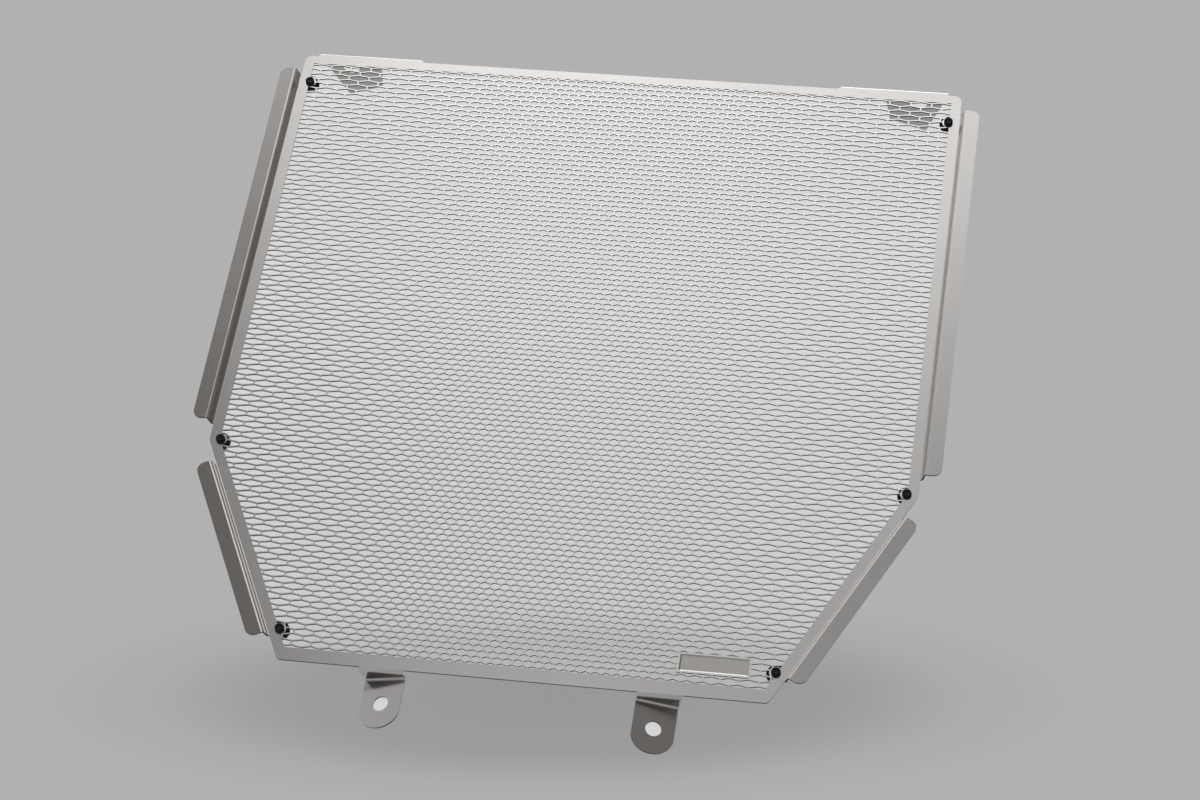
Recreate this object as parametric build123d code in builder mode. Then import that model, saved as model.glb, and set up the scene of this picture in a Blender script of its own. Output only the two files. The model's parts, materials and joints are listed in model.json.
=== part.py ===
"""Radiator guard for a motorcycle: one folded stainless sheet with a mesh, and six rubber bumpers.

The panel stands upright and faces -Y. +X is across, +Z is up. The origin lies midway between the two
bolt holes of the upper tabs, on the tabs' upper faces. All lengths are millimetres.
"""
import os
from math import ceil, cos, exp, hypot, log, radians, sin, tan

from build123d import *

# Sheet and folds
sheet_t = 0.7
bend_r = 0.8                  # inner radius of every fold

# Panel outline, heights measured down from the top edge
panel_width = 320.0
bottom_width = 213.2
side_height = 226.2           # upright part of each side
lower_height = 108.8          # slanted part of each side
top_corner_r = 3.6
side_corner_r = 6.0
bottom_corner_r = 2.7

# Plain band round the mesh
side_band = 4.7
top_band = 4.6
bottom_band = 6.3

# Mesh, drawn much coarser than the real one so that the solid stays light
narrow_cell = 30.0            # cell width across the middle of the panel
wide_cell = 40.0              # cell width beside the bands
narrow_zone = 52.0            # half width of the stretch of narrow cells
wide_zone = 106.0             # distance from the middle where the wide cells begin
row_pitch = 27.5
cell_rise = 8.5               # from a cell's side corner up to its peak
mesh_web = 6.0
smallest_opening = 40.0       # area below which a cut-off cell is left solid

# Badge plate in the mesh, with a bare pocket
badge_width = 31.6
badge_height = 9.9
badge_from_middle = 81.8
badge_above_bottom = 16.1
badge_rim = 0.8
badge_depth = 0.3

# Side wings, stepped forward of the panel
wing_step = 4.5
wing_fold = 75.0              # degrees that each of a wing's two folds turns
wing_reach = 9.3              # from the panel's edge to the flange's edge
wing_corner_r = 4.0
upper_wing_from_top = 11.8
upper_wing_from_corner = 8.8
lower_wing_from_corner = 14.1
lower_wing_length = 94.5

# Lower tabs, stepped back and turned outwards
lower_tab_from_middle = 60.5
lower_tab_width = 18.6
lower_tab_turn = 14.5         # degrees
lower_tab_step = 6.6          # panel's front face to the tab's front face, at the tab's middle
lower_tab_straight = 18.3     # length of the tab's straight sides below the bottom edge
lower_tab_drop = 25.2
lower_hole_d = 7.0
lower_hole_drop = 13.5

# Upper tabs, folded straight back
upper_tab_lip = 0.9           # straight rise from the top edge to the fold
upper_tab_slant = 3.2         # how far the fold's inner end leans
upper_fold_in = 38.7          # the fold's ends and the outline's corners, measured from the hole's axis
upper_fold_out = 14.3
upper_tab_shoulder_in = 15.7
upper_tab_shoulder_ahead = 3.0
upper_tab_inner_end_in = 13.9
upper_tab_inner_end_behind = 12.5
upper_tab_outer_end_out = 3.5
upper_tab_outer_end_behind = 19.8
upper_tab_corner_r = 1.2
upper_hole_d = 8.0
upper_hole_from_middle = 139.2
upper_hole_setback = 10.0     # panel's front face to the hole's axis

# Rubber bumpers pushed through the band
bumper_from_edge = 5.1
bumper_below_top = 16.3
bumper_above_corner = 0.7
bumper_past_corner = 107.0    # along the slanted side
bumper_hole_d = 3.0
bumper_boss_d = 5.8
bumper_clearance = 0.05       # stem to hole, on the radius
bumper_head_d = 4.2
bumper_head_height = 1.6
bumper_body_d = 8.4
bumper_body_length = 3.6

# Values worked out from the sizes above
fold_r = bend_r + sheet_t                 # outer radius of a fold
fold_mid_r = bend_r + sheet_t / 2         # radius of a fold at mid-thickness
half_width = panel_width / 2
half_bottom = bottom_width / 2
panel_height = side_height + lower_height
front_y = -upper_hole_setback
top_z = -fold_r - upper_tab_lip
bottom_z = top_z - panel_height
slant_length = hypot(half_width - half_bottom, lower_height)
slant_x = -(half_width - half_bottom) / slant_length
slant_z = -lower_height / slant_length

# On this plane x runs across, y runs up from the panel's top edge and the normal points forward
front = Plane(origin=(0, front_y, top_z), x_dir=(1, 0, 0), z_dir=(0, -1, 0))


def along_slant(distance, inset):
    """A point beside the right slanted side: so far down it, and so far inside it."""
    x = half_width + slant_x * distance + slant_z * inset
    return x, -side_height + slant_z * distance - slant_x * inset


def cell_number(x):
    """How many cells fit between the middle and x, where their width changes from narrow to wide."""
    growth = (wide_cell - narrow_cell) / (wide_zone - narrow_zone)
    if x <= narrow_zone:
        return x / narrow_cell
    reached = min(x, wide_zone)
    count = narrow_zone / narrow_cell
    count += log((narrow_cell + growth * (reached - narrow_zone)) / narrow_cell) / growth
    return count + (x - reached) / wide_cell


def cell_x(number):
    """The place of a cell's edge or middle, from its number: the inverse of cell_number."""
    growth = (wide_cell - narrow_cell) / (wide_zone - narrow_zone)
    count = abs(number)
    side = 1 if number >= 0 else -1
    if count <= cell_number(narrow_zone):
        return side * count * narrow_cell
    if count <= cell_number(wide_zone):
        width = narrow_cell * exp(growth * (count - cell_number(narrow_zone)))
        return side * (narrow_zone + (width - narrow_cell) / growth)
    return side * (wide_zone + (count - cell_number(wide_zone)) * wide_cell)


def cell_outline(number, height):
    """The six corners of one opening, half a web inside its cell."""
    left, middle, right = cell_x(number - 0.5), cell_x(number), cell_x(number + 0.5)
    half_web = mesh_web / 2
    corners = []
    for edge, inward in ((left, 1), (right, -1)):
        slope = cell_rise / abs(middle - edge)
        drop = half_web * hypot(1, slope)
        peak = (row_pitch + cell_rise) / 2 - drop
        corners.append((edge + inward * half_web, peak - slope * (abs(middle - edge) - half_web), peak))
    (left_x, left_h, left_peak), (right_x, right_h, right_peak) = corners
    peak = (left_peak + right_peak) / 2
    return [(left_x, height - left_h), (middle, height - peak), (right_x, height - right_h),
            (right_x, height + right_h), (middle, height + peak), (left_x, height + left_h)]


corner_points = [(-half_width, 0), (half_width, 0), (half_width, -side_height),
                 (half_bottom, -panel_height), (-half_bottom, -panel_height), (-half_width, -side_height)]
lower_bumper = along_slant(bumper_past_corner, bumper_from_edge)
bumper_places = {
    "upper": (half_width - bumper_from_edge, -bumper_below_top),
    "middle": (half_width - bumper_from_edge, -side_height + bumper_above_corner),
    "lower": lower_bumper,
}
bumper_points = [(side * x, height) for x, height in bumper_places.values() for side in (-1, 1)]
badge_place = (badge_from_middle, -panel_height + badge_above_bottom)

# The mesh's field inside the bands, and the cells that cover it
slope = slant_x / slant_z
field_half = half_width - side_band
field_top = -top_band
field_bottom = -panel_height + bottom_band
inner_slant_x, inner_slant_height = along_slant(0, side_band)
field_shoulder = inner_slant_height + (field_half - inner_slant_x) / slope
field_foot = field_half + slope * (field_bottom - field_shoulder)
field_points = [(-field_half, field_top), (field_half, field_top), (field_half, field_shoulder),
                (field_foot, field_bottom), (-field_foot, field_bottom), (-field_half, field_shoulder)]
row_count = ceil((field_top - field_bottom) / row_pitch) + 1
column_count = ceil(cell_number(half_width)) + 1
cells = []
for row in range(row_count):
    for column in range(-column_count, column_count + 1):
        outline_points = cell_outline(column + 0.5 * (row % 2), field_top - row * row_pitch)
        cells.append(Polygon(*outline_points, align=None, mode=Mode.PRIVATE))

# Folded wings: a strip along each side, stepped forward by a wall that leans outwards
wing_mid = sheet_t / 2
wing_bend = fold_mid_r * tan(radians(wing_fold / 2))      # from a fold's end to its corner
wing_lean = wing_step / tan(radians(wing_fold))           # how far the wall leans over the step
wing_flat = wing_reach - 2 * wing_bend - wing_lean        # width of the flange's flat
wing_section = [(-sheet_t, wing_mid), (wing_bend, wing_mid), (wing_bend + wing_lean, wing_mid - wing_step),
                (wing_reach, wing_mid - wing_step)]

with BuildPart() as upper_wing:
    start = front.from_local_coords((half_width, -side_height + upper_wing_from_corner, 0))
    with BuildSketch(Plane(origin=start, x_dir=(1, 0, 0), z_dir=(0, 0, 1))):
        with BuildLine():
            FilletPolyline(*wing_section, radius=fold_mid_r)
        trace(line_width=sheet_t)
    extrude(amount=side_height - upper_wing_from_corner - upper_wing_from_top)
    outer_corners = upper_wing.edges().filter_by(Axis.Y).sort_by(Axis.X)[-2:]
    fillet(outer_corners, radius=min(wing_corner_r, wing_flat))

with BuildPart() as lower_wing:
    end_x, end_height = along_slant(lower_wing_from_corner + lower_wing_length, 0)
    start = front.from_local_coords((end_x, end_height, 0))
    outward = Vector(-slant_z, 0, slant_x)
    with BuildSketch(Plane(origin=start, x_dir=outward, z_dir=(-slant_x, 0, -slant_z))):
        with BuildLine():
            FilletPolyline(*wing_section, radius=fold_mid_r)
        trace(line_width=sheet_t)
    extrude(amount=lower_wing_length)
    outer_corners = lower_wing.edges().filter_by(Axis.Y).sort_by(Axis((0, 0, 0), outward))[-2:]
    fillet(outer_corners, radius=min(wing_corner_r, wing_flat))

# Lower tab: a fold at the panel's edge, a skewed wall, a second fold and the hanging flat
turn = radians(lower_tab_turn)
tab_across = Vector(cos(turn), sin(turn), 0)
tab_back = Vector(-sin(turn), cos(turn), 0)
wall_z = bottom_z - fold_mid_r
wall_start = Vector(lower_tab_from_middle, front_y + fold_r, wall_z)
wall_length = (lower_tab_step - fold_r) / cos(turn) - bend_r
half_tab = lower_tab_width / 2

with BuildPart() as lower_tab:
    root_half = half_tab / cos(turn)
    root_middle = (lower_tab_from_middle - root_half, front_y + sheet_t / 2, bottom_z)
    with BuildSketch(Plane(origin=root_middle, x_dir=(0, 1, 0), z_dir=(1, 0, 0))):
        with BuildLine():
            Line((0, sheet_t), (0, 0))
            RadiusArc((0, 0), (fold_mid_r, -fold_mid_r), -fold_mid_r)
        trace(line_width=sheet_t)
    extrude(amount=2 * root_half)
    with BuildSketch(Plane(origin=wall_start, x_dir=tab_across, z_dir=(0, 0, 1))):
        lean = half_tab * sin(turn) / cos(turn)
        Polygon((-half_tab, lean), (half_tab, -lean), (half_tab, wall_length), (-half_tab, wall_length),
                align=None)
    extrude(amount=sheet_t / 2, both=True)
    fold_start = wall_start + tab_back * wall_length - tab_across * half_tab
    with BuildSketch(Plane(origin=fold_start, x_dir=tab_back, z_dir=tab_across)):
        with BuildLine():
            RadiusArc((0, 0), (fold_mid_r, -fold_mid_r), fold_mid_r)
        trace(line_width=sheet_t)
    extrude(amount=lower_tab_width)
    flat_top = wall_start + tab_back * (wall_length + fold_mid_r)
    with BuildSketch(Plane(origin=(flat_top.X, flat_top.Y, bottom_z), x_dir=tab_across, z_dir=-tab_back)):
        with BuildLine():
            straight = Polyline((half_tab, -lower_tab_straight), (half_tab, -2 * fold_mid_r),
                                (-half_tab, -2 * fold_mid_r), (-half_tab, -lower_tab_straight))
            ThreePointArc(straight @ 1, (0, -lower_tab_drop), straight @ 0)
        make_face()
        with Locations((0, -lower_hole_drop)):
            Circle(lower_hole_d / 2, mode=Mode.SUBTRACT)
    extrude(amount=sheet_t / 2, both=True)

# Upper tab: a fold at the top edge and a level flat with its bolt hole
with BuildPart() as upper_tab:
    hole_x, hole_y = upper_hole_from_middle, upper_hole_setback
    fold_inner = hole_x - upper_fold_in
    fold_outer = hole_x + upper_fold_out
    fold_top = upper_tab_lip + fold_r
    fold_corner = (fold_inner, front_y + sheet_t / 2, top_z)
    with BuildSketch(Plane(origin=fold_corner, x_dir=(0, 1, 0), z_dir=(1, 0, 0))):
        with BuildLine():
            lip = Line((0, -sheet_t), (0, upper_tab_lip))
            RadiusArc(lip @ 1, (fold_mid_r, upper_tab_lip + fold_mid_r), fold_mid_r)
        trace(line_width=sheet_t)
    extrude(amount=fold_outer - fold_inner)
    with BuildSketch(front):
        Polygon((fold_inner, 0), (fold_inner + upper_tab_slant, fold_top), (fold_inner, fold_top),
                align=None)
    extrude(amount=-2 * fold_r, mode=Mode.SUBTRACT)
    shoulder = (hole_x - upper_tab_shoulder_in, hole_y - upper_tab_shoulder_ahead)
    inner_end = (hole_x - upper_tab_inner_end_in, hole_y + upper_tab_inner_end_behind)
    outer_end = (hole_x + upper_tab_outer_end_out, hole_y + upper_tab_outer_end_behind)
    with BuildSketch(Plane(origin=(0, front_y, -sheet_t))) as flat:
        Polygon((fold_inner + upper_tab_slant, fold_r), (fold_outer, fold_r), outer_end,
                inner_end, shoulder, align=None)
        far_corners = flat.vertices().sort_by(Axis.Y)[-3:]
        fillet(far_corners, radius=upper_tab_corner_r)
        with Locations((hole_x, hole_y)):
            Circle(upper_hole_d / 2, mode=Mode.SUBTRACT)
    extrude(amount=sheet_t)

with BuildPart() as guard_sheet:
    with BuildSketch(front) as outline:
        Polygon(*corner_points, align=None)
        fillet(outline.vertices().group_by(Axis.Y)[1], radius=side_corner_r)
        fillet(outline.vertices().group_by(Axis.Y)[-1], radius=top_corner_r)
        fillet(outline.vertices().group_by(Axis.Y)[0], radius=bottom_corner_r)
    extrude(amount=-sheet_t)

    for folded in (upper_wing, lower_wing, lower_tab, upper_tab):
        add(folded.part)
        mirror(folded.part, about=Plane.YZ)
    with BuildSketch(front):
        with Locations(badge_place):
            Rectangle(badge_width - 2 * badge_rim, badge_height - 2 * badge_rim)
    extrude(amount=-badge_depth, mode=Mode.SUBTRACT)

    with BuildSketch(front) as openings:
        add(cells)
        Polygon(*field_points, align=None, mode=Mode.INTERSECT)
        with Locations(*bumper_points):
            Circle(bumper_boss_d / 2, mode=Mode.SUBTRACT)
        with Locations(badge_place):
            Rectangle(badge_width, badge_height, mode=Mode.SUBTRACT)
        for sliver in openings.faces().filter_by(lambda face: face.area < smallest_opening):
            add(sliver, mode=Mode.SUBTRACT)
        opening_count = len(openings.faces())
        with Locations(*bumper_points):
            Circle(bumper_hole_d / 2)
    extrude(amount=-sheet_t, mode=Mode.SUBTRACT)
guard_sheet.part.label = "guard_sheet"

os.makedirs("parts", exist_ok=True)
export_step(guard_sheet.part, "parts/guard_sheet.step")
print("guard_sheet", len(guard_sheet.solids()), "solid", opening_count, "openings")

for level, (place_x, place_height) in bumper_places.items():
    for side_name, side in (("left", -1), ("right", 1)):
        middle = front.from_local_coords((side * place_x, place_height, 0))
        stem_r = bumper_hole_d / 2 - bumper_clearance
        head_r = bumper_head_d / 2
        body_r = bumper_body_d / 2
        body_end = sheet_t + bumper_body_length
        with BuildPart() as bumper:
            with BuildSketch(Plane(origin=middle, x_dir=(1, 0, 0), z_dir=(0, 0, 1))):
                with BuildLine():
                    Polyline((0, -bumper_head_height), (head_r, -bumper_head_height), (head_r, 0),
                             (stem_r, 0), (stem_r, sheet_t), (body_r, sheet_t), (body_r, body_end),
                             (0, body_end), (0, -bumper_head_height))
                make_face()
            revolve(axis=Axis(middle, (0, 1, 0)))
        name = f"bumper_{level}_{side_name}"
        bumper.part.label = name
        export_step(bumper.part, f"parts/{name}.step")
        print(name, round(bumper.part.volume, 2))
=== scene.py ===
# %% [markdown]
# # A radiator guard, dressed in Blender
# The part is one thin stainless sheet, cut with a fine mesh and folded at its edges, with six rubber
# bumpers pushed through its band. The solid model has the folds and a coarse mesh. This lesson gives it
# the fine mesh, the brushed finish and the moulded rubber, in the same place and at the same size.

import json
from math import atan2, cos, e, pi, radians, sin, sqrt, tan

import bmesh
import bpy
from mathutils import Matrix, Vector

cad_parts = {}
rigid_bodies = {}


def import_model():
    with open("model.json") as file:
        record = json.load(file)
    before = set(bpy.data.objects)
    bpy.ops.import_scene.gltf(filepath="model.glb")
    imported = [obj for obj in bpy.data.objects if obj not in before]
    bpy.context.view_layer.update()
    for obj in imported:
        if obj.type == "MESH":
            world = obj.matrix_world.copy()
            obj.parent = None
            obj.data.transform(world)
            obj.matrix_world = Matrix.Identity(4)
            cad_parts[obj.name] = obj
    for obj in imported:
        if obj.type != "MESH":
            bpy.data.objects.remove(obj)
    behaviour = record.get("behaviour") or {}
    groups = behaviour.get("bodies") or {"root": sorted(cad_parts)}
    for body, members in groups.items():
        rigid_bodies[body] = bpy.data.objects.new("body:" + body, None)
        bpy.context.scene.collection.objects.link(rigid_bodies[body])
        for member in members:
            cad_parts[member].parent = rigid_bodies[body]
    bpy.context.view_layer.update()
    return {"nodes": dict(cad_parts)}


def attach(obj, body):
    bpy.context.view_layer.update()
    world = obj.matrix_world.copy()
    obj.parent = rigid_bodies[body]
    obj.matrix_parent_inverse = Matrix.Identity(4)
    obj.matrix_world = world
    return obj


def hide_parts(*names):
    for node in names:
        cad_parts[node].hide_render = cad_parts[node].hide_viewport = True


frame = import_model()
MM = 0.001
print("nodes:", sorted(frame["nodes"]))

# %% [markdown]
# ## The sheet's sizes
# These are the sizes that the solid model is made from, in millimetres: 0.7 mm sheet, one bend radius
# everywhere, and an upright panel that faces -Y. The folds need the radius at mid-thickness, because a
# strip is drawn along its middle and then given its thickness to both sides. The left side is the right
# one mirrored, so each piece is drawn on the right and multiplied by a flip.

# %% Sizes of the sheet and its folds
sheet_t = 0.7
bend_r = 0.8
fold_r = bend_r + sheet_t
fold_mid = bend_r + sheet_t / 2
bend_steps = 12

half_width, half_bottom = 160.0, 106.6
side_height, lower_height = 226.2, 108.8
upper_lip = 0.9
front_y, top_z = -10.0, -fold_r - upper_lip
corner_z = top_z - side_height
bottom_z = corner_z - lower_height
side_corner = Vector((half_width, front_y, corner_z))
slant = Vector((half_bottom - half_width, 0, -lower_height)).normalized()
slant_out = Vector((-slant.z, 0, slant.x))
x_axis, y_axis, z_axis = Vector((1, 0, 0)), Vector((0, 1, 0)), Vector((0, 0, 1))
down = -z_axis
FLIPS = (("left", Vector((-1, 1, 1))), ("right", Vector((1, 1, 1))))
print("bottom edge at z =", round(bottom_z, 2), "mm")
print("slanted side runs", round(slant.x / slant.z, 3), "mm in for each mm down")

# %% [markdown]
# ## Helpers for closed sheet solids
# Every piece of the sheet is a closed solid, so that they can be united and cut later without leaks. A
# slab is a flat outline with a thickness. A strip is a row of cross lines that runs round the bends. The
# narrow faces are marked as cut edges, because a cut edge is duller than the brushed face. The faces of a
# bend are marked too, for smooth shading.

# %% Closed solids
sheet_pieces = bpy.data.collections.new("sheet pieces")


def closed_solid(name, points, faces, marked, home):
    """A closed mesh from points in millimetres. Each title in marked lists the numbers of its faces."""
    mesh = bpy.data.meshes.new(name)
    mesh.from_pydata([Vector(p) * MM for p in points], [], faces)
    for title, numbers in marked.items():
        mark = mesh.attributes.new(title, "FLOAT", "FACE")
        mark.data.foreach_set("value", [1.0 if i in numbers else 0.0 for i in range(len(faces))])
    work = bmesh.new()
    work.from_mesh(mesh)
    bmesh.ops.recalc_face_normals(work, faces=work.faces)
    work.to_mesh(mesh)
    work.free()
    made = bpy.data.objects.new(name, mesh)
    home.objects.link(made)
    return made


def between_rings(count):
    """The faces of a solid between two rings of points: both ends first, then the walls."""
    ends = [tuple(range(count)), tuple(range(2 * count - 1, count - 1, -1))]
    return ends + [(i, (i + 1) % count, (i + 1) % count + count, i + count) for i in range(count)]


def slab(name, outline, depth, home=sheet_pieces):
    """A flat outline and its copy at an offset of depth, joined by cut edges."""
    count = len(outline)
    points = [Vector(p) for p in outline] + [Vector(p) + depth for p in outline]
    walls = set(range(2, count + 2))
    return closed_solid(name, points, between_rings(count), {"cut edge": walls, "bend": set()}, home)


print("closed solids are kept in:", sheet_pieces.name)

# %% Strips and rounded outlines
least_turn = 0.001


def strip(name, rows):
    """A folded strip. Each row is its left end, its right end and the normal there."""
    points, faces, cuts, bends = [], [], set(), set()
    for left, right, normal in rows:
        reach = normal * (sheet_t / 2)
        points += [left + reach, right + reach, right - reach, left - reach]
    for i in range(len(rows) - 1):
        near, far = 4 * i, 4 * (i + 1)
        turns = rows[i][2].angle(rows[i + 1][2]) > least_turn
        for side in range(4):
            after = (side + 1) % 4
            if side in (1, 3):
                cuts.add(len(faces))
            elif turns:
                bends.add(len(faces))
            faces.append((near + side, near + after, far + after, far + side))
    cuts.update((len(faces), len(faces) + 1))
    last = 4 * (len(rows) - 1)
    faces += [(0, 1, 2, 3), (last, last + 1, last + 2, last + 3)]
    return closed_solid(name, points, faces, {"cut edge": cuts, "bend": bends}, sheet_pieces)


def rounded(corners, radii, steps=10):
    """A polygon's corners, each replaced by an arc of its radius."""
    outline = []
    for i, (corner, radius) in enumerate(zip(corners, radii)):
        before = (Vector(corners[i - 1]) - Vector(corner)).normalized()
        after = (Vector(corners[(i + 1) % len(corners)]) - Vector(corner)).normalized()
        if radius == 0:
            outline.append(Vector(corner))
            continue
        half = before.angle(after) / 2
        centre = Vector(corner) + (before + after).normalized() * (radius / sin(half))
        start = Vector(corner) + before * (radius / tan(half)) - centre
        end = Vector(corner) + after * (radius / tan(half)) - centre
        for k in range(steps + 1):
            outline.append(centre + start.lerp(end, k / steps).normalized() * radius)
    return outline


print("a bend is drawn in", bend_steps, "steps")

# %% [markdown]
# ## The flat panel
# The panel is a plate with two upright sides, two slanted ones and six rounded corners. It could be a
# plane with Bevel and Solidify modifiers, but an outline with arcs gives each corner its own radius, and
# the slab is closed from the start.

# %% Panel plate
panel_corners = [Vector((x, front_y, z)) for x, z in (
    (-half_width, top_z), (half_width, top_z), (half_width, corner_z),
    (half_bottom, bottom_z), (-half_bottom, bottom_z), (-half_width, corner_z))]
top_corner_r, side_corner_r, bottom_corner_r = 3.6, 6.0, 2.7
panel_radii = (top_corner_r, top_corner_r, side_corner_r, bottom_corner_r, bottom_corner_r, side_corner_r)
panel_outline = rounded(panel_corners, panel_radii)
slab("panel", panel_outline, y_axis * sheet_t)
print("panel outline has", len(panel_outline), "points")

# %% [markdown]
# ## The four side wings
# Along each side the sheet steps 4.5 mm forward over a leaning wall and turns outwards again: two folds
# of 75 degrees. An extruded edge would get thin in the bends, so the strip's rows follow the section,
# each with its own normal. Near the outer edge each row is shortened, which rounds the flange's two free
# corners. A folded flange springs back a little, so its outer edge lies about 0.3 mm behind its root, and
# that is why it shows another tone than the band.

# %% Wing section
wing_step, wing_reach, wing_corner = 4.5, 9.3, 4.0
wing_fold, flange_lean = radians(75), 0.045
corner_steps = 10


def wing_section():
    """Distance out from the panel's edge, distance back from its front, and the strip's turn so far."""
    back = sheet_t / 2
    flange = back - wing_step
    flange_root = 2 * fold_mid * tan(wing_fold / 2) + wing_step / tan(wing_fold)
    section = [(-sheet_t, back, 0.0)]
    for k in range(bend_steps + 1):
        turn = wing_fold * k / bend_steps
        section.append((fold_mid * sin(turn), back - fold_mid * (1 - cos(turn)), turn))
    for k in range(bend_steps + 1):
        turn = wing_fold - (wing_fold + flange_lean) * k / bend_steps
        section.append((flange_root - fold_mid * sin(turn), flange + fold_mid * (1 - cos(turn)), turn))
    for k in range(corner_steps + 1):
        out = wing_reach - wing_corner * (1 - sin(pi / 2 * k / corner_steps))
        section.append((out, flange + flange_lean * (out - flange_root), -flange_lean))
    return section


print("wing section has", len(wing_section()), "rows")

# %% Side wings
upper_wing_from_top, upper_wing_from_corner = 11.8, 8.8
lower_wing_from_corner, lower_wing_length = 14.1, 94.5
longest_trim = wing_corner * 0.985


def wing(name, start, along, length, outward):
    """A stepped strip beside one side of the panel, from start and along it."""
    rows = []
    for out, back, turn in wing_section():
        inset = max(0.0, out - (wing_reach - wing_corner))
        trim = min(wing_corner - sqrt(max(0.0, wing_corner ** 2 - inset ** 2)), longest_trim)
        place = start + outward * out + y_axis * back
        normal = y_axis * -cos(turn) - outward * sin(turn)
        rows.append((place + along * trim, place + along * (length - trim), normal))
    strip(name, rows)


upper_wing_length = side_height - upper_wing_from_corner - upper_wing_from_top
for side_name, flip in FLIPS:
    start = (side_corner + z_axis * upper_wing_from_corner) * flip
    wing(f"upper wing {side_name}", start, z_axis, upper_wing_length, x_axis * flip)
    start = (side_corner + slant * lower_wing_from_corner) * flip
    wing(f"lower wing {side_name}", start, slant * flip, lower_wing_length, slant_out * flip)
print("wings are", round(upper_wing_length, 1), "and", lower_wing_length, "mm long")

# %% [markdown]
# ## The tabs
# The two lower tabs step back, turn outwards by 14.5 degrees and hang down, with a round end. The two
# upper tabs fold straight back. Both kinds are a strip for the bends and a slab for the flat, because a
# slab can have any outline and a strip can't.

# %% Lower tab's bends
tab_turn = radians(14.5)
tab_x, half_tab, tab_setback = 60.5, 9.3, 6.6
tab_across = Vector((cos(tab_turn), sin(tab_turn), 0))
tab_back = Vector((-sin(tab_turn), cos(tab_turn), 0))
wall_length = (tab_setback - fold_r) / cos(tab_turn) - bend_r
wall_start = Vector((tab_x, front_y + fold_r, bottom_z - fold_mid))
wall_end = wall_start + tab_back * wall_length
root = x_axis * (half_tab / cos(tab_turn))
tab_rows = []
for z in (bottom_z + sheet_t, bottom_z):
    place = Vector((tab_x, front_y + sheet_t / 2, z))
    tab_rows.append((place - root, place + root, -y_axis))
for k in range(1, bend_steps + 1):
    turn = pi / 2 * k / bend_steps
    place = Vector((tab_x, front_y + fold_r - fold_mid * cos(turn), bottom_z - fold_mid * sin(turn)))
    tab_rows.append((place - root, place + root, Vector((0, -cos(turn), -sin(turn)))))
for k in range(bend_steps + 1):
    turn = pi / 2 * k / bend_steps
    place = wall_end + tab_back * (fold_mid * sin(turn)) + down * (fold_mid * (1 - cos(turn)))
    normal = down * cos(turn) - tab_back * sin(turn)
    tab_rows.append((place - tab_across * half_tab, place + tab_across * half_tab, normal))
print("lower tab's bends have", len(tab_rows), "rows")

# %% Lower tabs
tab_straight, tab_drop, tab_hole_drop, tab_hole_d = 18.3, 25.2, 13.5, 7.0
flat_middle = wall_end + tab_back * fold_mid
flat_middle.z = bottom_z
end_rise = tab_drop - tab_straight
end_r = (half_tab ** 2 + end_rise ** 2) / (2 * end_rise)
end_swing = atan2(half_tab, end_r - end_rise)
end_steps = 12
tab_flat = [(-half_tab, 2 * fold_mid), (half_tab, 2 * fold_mid)]
for k in range(2 * end_steps + 1):
    swing = end_swing * (1 - k / end_steps)
    tab_flat.append((end_r * sin(swing), tab_drop - end_r * (1 - cos(swing))))

flat_front = flat_middle - tab_back * (sheet_t / 2)
for side_name, flip in FLIPS:
    strip(f"lower tab bends {side_name}", [(a * flip, b * flip, n * flip) for a, b, n in tab_rows])
    outline = [(flat_front + tab_across * x + down * drop) * flip for x, drop in tab_flat]
    slab(f"lower tab flat {side_name}", outline, tab_back * flip * sheet_t)
print("lower tab's round end has a radius of", round(end_r, 2), "mm")

# %% Upper tabs
upper_inner, upper_outer, upper_slant = 100.5, 153.5, 3.2
upper_neck, upper_inner_end, upper_outer_end = (123.5, 7.0), (125.3, 22.5), (142.7, 29.8)
upper_corner_r = 1.2
upper_hole_x, upper_hole_d = 139.2, 8.0


def upper_row(z, turn):
    """One cross line of an upper tab's bend. Its inner end leans in as it rises."""
    y = front_y + fold_r - fold_mid * cos(turn)
    lean = upper_slant * max(0.0, z - top_z) / (upper_lip + fold_mid)
    inner, outer = Vector((upper_inner + lean, y, z)), Vector((upper_outer, y, z))
    return inner, outer, Vector((0, -cos(turn), sin(turn)))


upper_rows = [upper_row(top_z - sheet_t, 0.0), upper_row(top_z, 0.0)]
for k in range(bend_steps + 1):
    turn = pi / 2 * k / bend_steps
    upper_rows.append(upper_row(top_z + upper_lip + fold_mid * sin(turn), turn))
upper_corners = [(upper_inner + upper_slant, fold_r), upper_neck, upper_inner_end, upper_outer_end,
                 (upper_outer, fold_r)]
upper_flat = rounded([(x, front_y + behind, 0) for x, behind in upper_corners],
                     (0, upper_corner_r, upper_corner_r, upper_corner_r, 0))
for side_name, flip in FLIPS:
    strip(f"upper tab bend {side_name}", [(a * flip, b * flip, n * flip) for a, b, n in upper_rows])
    slab(f"upper tab flat {side_name}", [p * flip for p in upper_flat], down * sheet_t)

# %% [markdown]
# ## What the mesh keeps clear of
# The mesh fills a field inside the plain band. It stops at a small ring round each bumper and at the
# badge plate. The bolt holes, the bumper holes and the badge's shallow pocket with its sloping walls are
# cut too, so they are solids here as well.

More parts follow.
